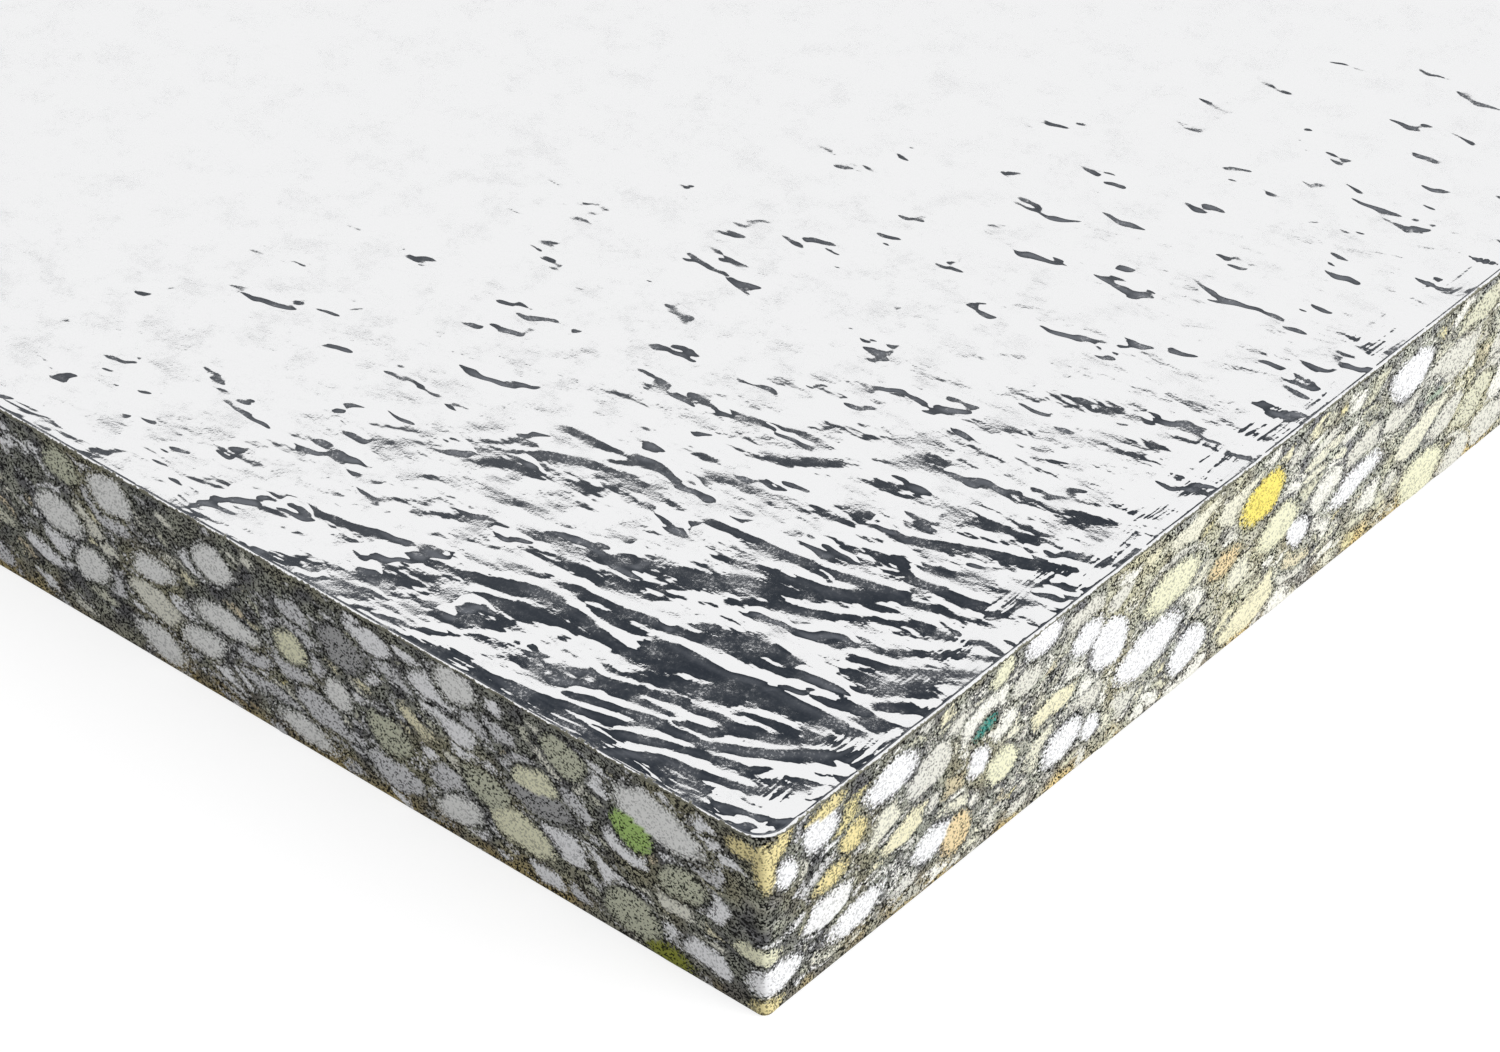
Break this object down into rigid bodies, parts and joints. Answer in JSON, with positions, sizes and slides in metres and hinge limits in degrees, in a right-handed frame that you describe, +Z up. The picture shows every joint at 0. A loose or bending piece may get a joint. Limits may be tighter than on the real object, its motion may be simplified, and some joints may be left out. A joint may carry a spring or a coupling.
{
  "type": "sound deadening sheet",
  "caption": "Flat rectangular slab of bonded foam chips with sawn edges, faced on top with a thin wrinkled aluminium film, for damping and insulating panels against sound.",
  "frame": {"origin": "centre of the underside", "axes": "+X along the length, +Y across the width, +Z up out of the film side; the pictured worn corner is at +X, -Y"},
  "size_m": [1, 0.6, 0.035],
  "materials": {
    "foam": "bonded polyurethane foam chips, mottled light grey, cream and dark grey, with open cells on the sawn sides",
    "foil": "bright mirror-like aluminium film, finely wrinkled"
  },
  "bodies": {
    "root": {"foam_core": "foam", "foil_facing": "foil"}
  },
  "joints": []
}
